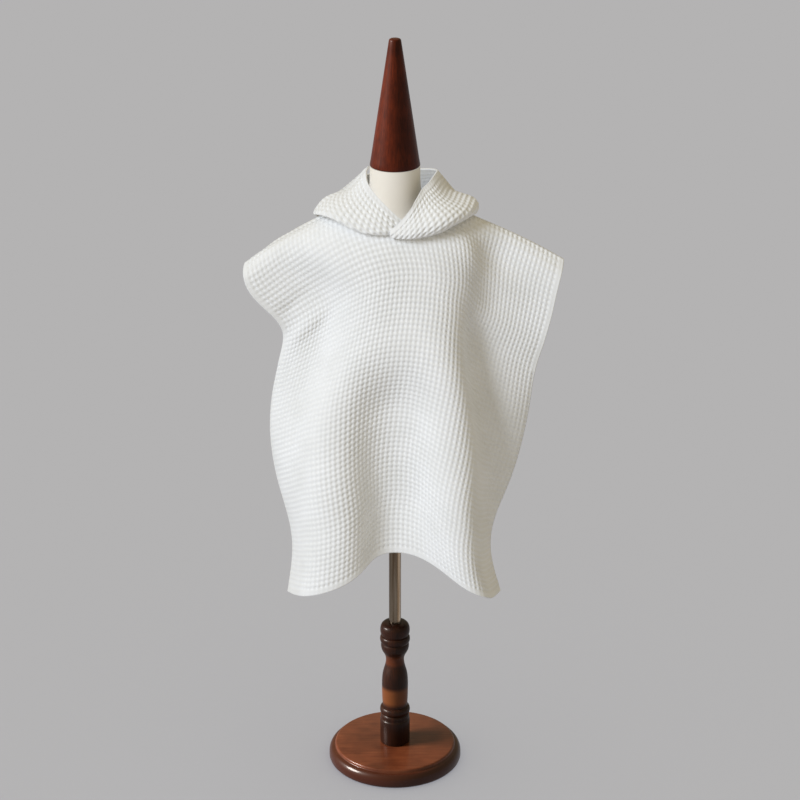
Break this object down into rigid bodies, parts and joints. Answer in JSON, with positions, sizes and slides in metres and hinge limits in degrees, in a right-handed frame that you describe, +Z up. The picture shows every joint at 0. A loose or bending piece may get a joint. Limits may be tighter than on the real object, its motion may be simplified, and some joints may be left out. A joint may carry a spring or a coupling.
{
  "type": "hooded bath poncho on a child-size dress form",
  "caption": "White waffle-weave hooded bath poncho, open at the sides of the arms and hem, worn by a limbless child-size dress form on a turned wooden stand.",
  "frame": {"origin": "centre of the base disc's flat underside, on the floor", "axes": "+Z up along the pole; the poncho's front, with the V of the hood, faces -Y; +X is to the viewer's right when the front is seen, which is the wearer's left"},
  "size_m": [0.5534, 0.2711, 1.37],
  "materials": {
    "white_waffle_cotton": "matt waffle weave",
    "form_cotton_cover": "matt close-woven cover",
    "stained_wood": "dark red-brown stain under clear varnish",
    "polished_steel": "polished tube"
  },
  "bodies": {
    "root": {"front_panel": "white_waffle_cotton", "back_panel": "white_waffle_cotton", "hood_left": "white_waffle_cotton", "hood_right": "white_waffle_cotton", "torso": "form_cotton_cover", "neck_cap": "stained_wood", "turned_post": "stained_wood", "base_disc": "stained_wood", "pole": "polished_steel"}
  },
  "joints": []
}
